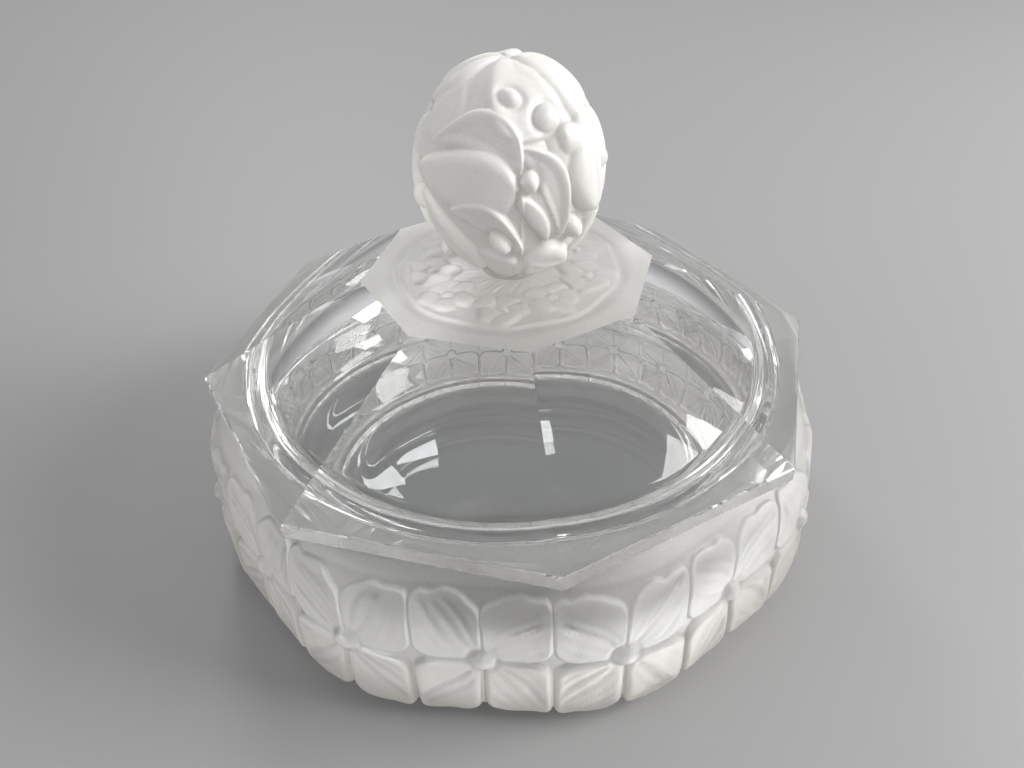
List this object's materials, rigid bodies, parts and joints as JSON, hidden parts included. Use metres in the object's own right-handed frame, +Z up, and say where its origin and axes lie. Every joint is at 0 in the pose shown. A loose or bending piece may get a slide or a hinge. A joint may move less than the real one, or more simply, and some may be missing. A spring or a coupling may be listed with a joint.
{
  "type": "glass powder jar",
  "caption": "Octagonal lidded glass powder jar with a frosted floral bowl, a clear faceted lid and a frosted petal-relief ball knob.",
  "frame": {"origin": "on the table under the middle of the bowl", "axes": "+Z up along the middle of bowl, lid and knob; the bowl's flat sides face +X, -X, +Y and -Y, and -Y is the front"},
  "size_m": [0.1364, 0.1364, 0.109],
  "materials": {
    "bowl_glass": "thick colourless glass, acid-frosted outside, polished inside",
    "lid_glass": "clear cut and polished glass with a frosted platform",
    "knob_glass": "acid-frosted glass"
  },
  "bodies": {
    "bowl_body": {"bowl": "bowl_glass"},
    "lid_body": {"lid": "lid_glass", "knob": "knob_glass"}
  },
  "joints": [
    {"name": "lid_lift", "type": "slide", "parent": "bowl_body", "child": "lid_body", "axis": [0, 0, 1], "range_m": [0, 0.06]}
  ]
}
